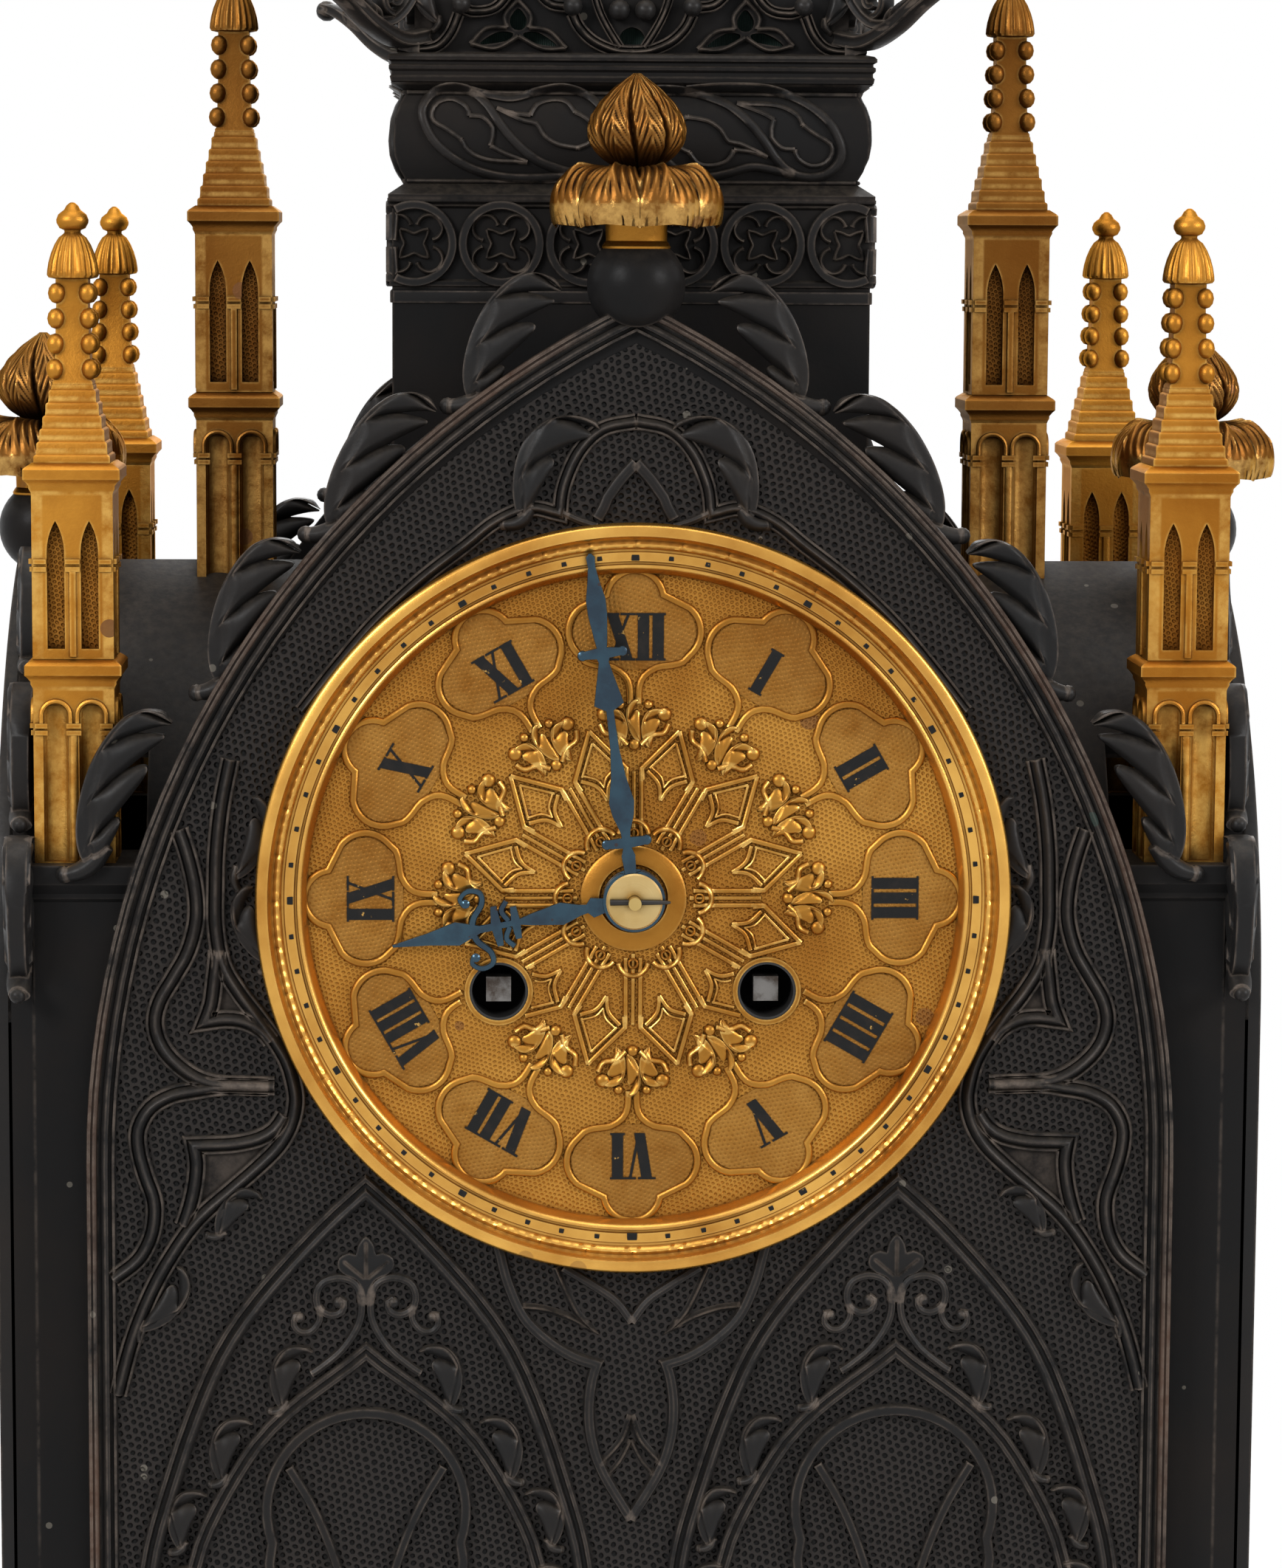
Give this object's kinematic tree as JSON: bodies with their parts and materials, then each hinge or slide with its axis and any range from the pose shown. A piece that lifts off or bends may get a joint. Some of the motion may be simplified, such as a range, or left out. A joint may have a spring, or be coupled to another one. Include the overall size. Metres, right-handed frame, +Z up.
{
  "type": "cathedral mantel clock",
  "caption": "Gothic cathedral mantel clock: bronze case with gables, pinnacles and spire, round gilt dial, eight-day bell-striking movement with pendulum.",
  "frame": {"origin": "on the table, under the middle of the base", "axes": "+Z up along the height; the dial faces -Y; +X to the right seen from the dial"},
  "size_m": [0.235, 0.135, 0.5727],
  "materials": {
    "bronze": "nearly black patinated bronze, satin, brown where edges are rubbed",
    "gilt_bronze": "fire-gilt bronze with dark brown in the recesses",
    "dial_gilding": "matt gilding, burnished on the raised fillets",
    "movement_brass": "lacquered, turned and grained brass",
    "bell_metal": "turned bell metal",
    "polished_steel": "polished steel",
    "blued_steel": "heat-blued steel with some brown",
    "dark_cloth": "fine dark green cloth"
  },
  "bodies": {
    "case": {"base_plinth": "bronze", "base_cover": "movement_brass", "feet": "bronze", "corner_piers": "bronze", "front_facade": "bronze", "back_facade": "bronze", "side_gables": "bronze", "nave_roof": "bronze", "side_roofs": "bronze", "tower_shaft": "bronze", "tower_frieze": "bronze", "scroll_band": "bronze", "crown_gallery": "bronze", "crown_cloth": "dark_cloth", "crown_brackets": "bronze", "spire": "bronze", "spire_finial": "gilt_bronze", "gable_balls": "bronze", "gable_buds": "gilt_bronze", "pinnacles": "gilt_bronze", "crockets": "bronze", "case_screws": "polished_steel", "dial_bezel": "gilt_bronze", "dial_plate": "dial_gilding", "front_plate": "movement_brass", "back_plate": "movement_brass", "plate_pillars": "movement_brass", "movement_straps": "movement_brass", "rear_bezel": "movement_brass", "door_pin": "polished_steel", "suspension_cock": "movement_brass", "bell": "bell_metal", "bell_stand": "polished_steel"},
    "minute_work": {"centre_wheel": "movement_brass", "cannon_pinion": "polished_steel", "minute_hand": "blued_steel", "hand_washer": "movement_brass", "hand_pin": "polished_steel"},
    "motion_wheel": {"minute_wheel": "movement_brass"},
    "hour_work": {"hour_wheel": "movement_brass", "hour_hand": "blued_steel"},
    "going_barrel": {"going_barrel": "movement_brass"},
    "going_arbor": {"going_arbor": "polished_steel"},
    "second_wheel": {"second_wheel": "movement_brass"},
    "third_wheel": {"third_wheel": "movement_brass"},
    "escape_wheel": {"escape_wheel": "movement_brass"},
    "anchor": {"anchor": "polished_steel"},
    "pendulum": {"pendulum_rod": "polished_steel", "pendulum_bob": "movement_brass", "rating_nut": "movement_brass"},
    "strike_barrel": {"strike_barrel": "movement_brass"},
    "strike_arbor": {"strike_arbor": "polished_steel"},
    "strike_wheel": {"strike_wheel": "movement_brass", "count_wheel": "movement_brass"},
    "pin_wheel": {"pin_wheel": "movement_brass"},
    "warning_wheel": {"warning_wheel": "movement_brass"},
    "fly": {"fly": "polished_steel"},
    "hammer": {"hammer": "polished_steel"},
    "rear_door": {"rear_door": "movement_brass", "door_knob": "movement_brass"}
  },
  "joints": [
    {"name": "minute_turn", "type": "hinge", "parent": "case", "child": "minute_work", "pos_m": [0, 0, 0.21], "axis": [0, 1, 0], "continuous": true},
    {"name": "motion_turn", "type": "hinge", "parent": "case", "child": "motion_wheel", "pos_m": [0, 0, 0.2004], "axis": [0, 1, 0], "continuous": true},
    {"name": "hour_turn", "type": "hinge", "parent": "case", "child": "hour_work", "pos_m": [0, 0, 0.21], "axis": [0, 1, 0], "continuous": true},
    {"name": "second_turn", "type": "hinge", "parent": "case", "child": "second_wheel", "pos_m": [0.01651, 0, 0.21581], "axis": [0, 1, 0], "continuous": true},
    {"name": "going_barrel_turn", "type": "hinge", "parent": "case", "child": "going_barrel", "pos_m": [0.021, 0, 0.1953], "axis": [0, 1, 0], "continuous": true},
    {"name": "third_turn", "type": "hinge", "parent": "case", "child": "third_wheel", "pos_m": [-0.00632, 0, 0.2221], "axis": [0, 1, 0], "continuous": true},
    {"name": "escape_turn", "type": "hinge", "parent": "case", "child": "escape_wheel", "pos_m": [0, 0, 0.232], "axis": [0, 1, 0], "continuous": true},
    {"name": "going_winding", "type": "hinge", "parent": "case", "child": "going_arbor", "pos_m": [0.021, 0, 0.1953], "axis": [0, 1, 0], "range_deg": [0, 1980]},
    {"name": "pendulum_swing", "type": "hinge", "parent": "case", "child": "pendulum", "pos_m": [0, 0, 0.25], "axis": [0, 1, 0], "range_deg": [-2.5, 2.5]},
    {"name": "anchor_rock", "type": "hinge", "parent": "case", "child": "anchor", "pos_m": [0, 0, 0.243], "axis": [0, 1, 0], "range_deg": [-3.5, 3.5]},
    {"name": "pin_wheel_turn", "type": "hinge", "parent": "case", "child": "pin_wheel", "pos_m": [-0.01994, 0, 0.22712], "axis": [0, 1, 0], "continuous": true},
    {"name": "strike_wheel_turn", "type": "hinge", "parent": "case", "child": "strike_wheel", "pos_m": [-0.02679, 0, 0.21549], "axis": [0, 1, 0], "continuous": true},
    {"name": "strike_barrel_turn", "type": "hinge", "parent": "case", "child": "strike_barrel", "pos_m": [-0.021, 0, 0.1953], "axis": [0, 1, 0], "continuous": true},
    {"name": "warning_turn", "type": "hinge", "parent": "case", "child": "warning_wheel", "pos_m": [-0.01446, 0, 0.23572], "axis": [0, 1, 0], "continuous": true},
    {"name": "fly_turn", "type": "hinge", "parent": "case", "child": "fly", "pos_m": [-0.01044, 0, 0.24125], "axis": [0, 1, 0], "continuous": true},
    {"name": "strike_winding", "type": "hinge", "parent": "case", "child": "strike_arbor", "pos_m": [-0.021, 0, 0.1953], "axis": [0, 1, 0], "range_deg": [0, 1980]},
    {"name": "hammer_lift", "type": "hinge", "parent": "case", "child": "hammer", "pos_m": [-0.038, 0, 0.232], "axis": [0, 1, 0], "range_deg": [0, 14]},
    {"name": "door_swing", "type": "hinge", "parent": "case", "child": "rear_door", "pos_m": [-0.0605, 0.06045, 0.21], "axis": [0, 0, 1], "range_deg": [0, 110]}
  ],
  "couplings": [
    {"joint": "motion_turn", "follows": "minute_turn", "ratio": -0.33333},
    {"joint": "hour_turn", "follows": "minute_turn", "ratio": 0.083333},
    {"joint": "second_turn", "follows": "minute_turn", "ratio": -0.16667},
    {"joint": "going_barrel_turn", "follows": "minute_turn", "ratio": 0.027778},
    {"joint": "third_turn", "follows": "minute_turn", "ratio": -12},
    {"joint": "escape_turn", "follows": "minute_turn", "ratio": 137.14},
    {"joint": "anchor_rock", "follows": "pendulum_swing", "ratio": 1.3302},
    {"joint": "strike_wheel_turn", "follows": "pin_wheel_turn", "ratio": -0.11111},
    {"joint": "strike_barrel_turn", "follows": "pin_wheel_turn", "ratio": 0.018519},
    {"joint": "warning_turn", "follows": "pin_wheel_turn", "ratio": -7.5},
    {"joint": "fly_turn", "follows": "pin_wheel_turn", "ratio": 53.571}
  ]
}
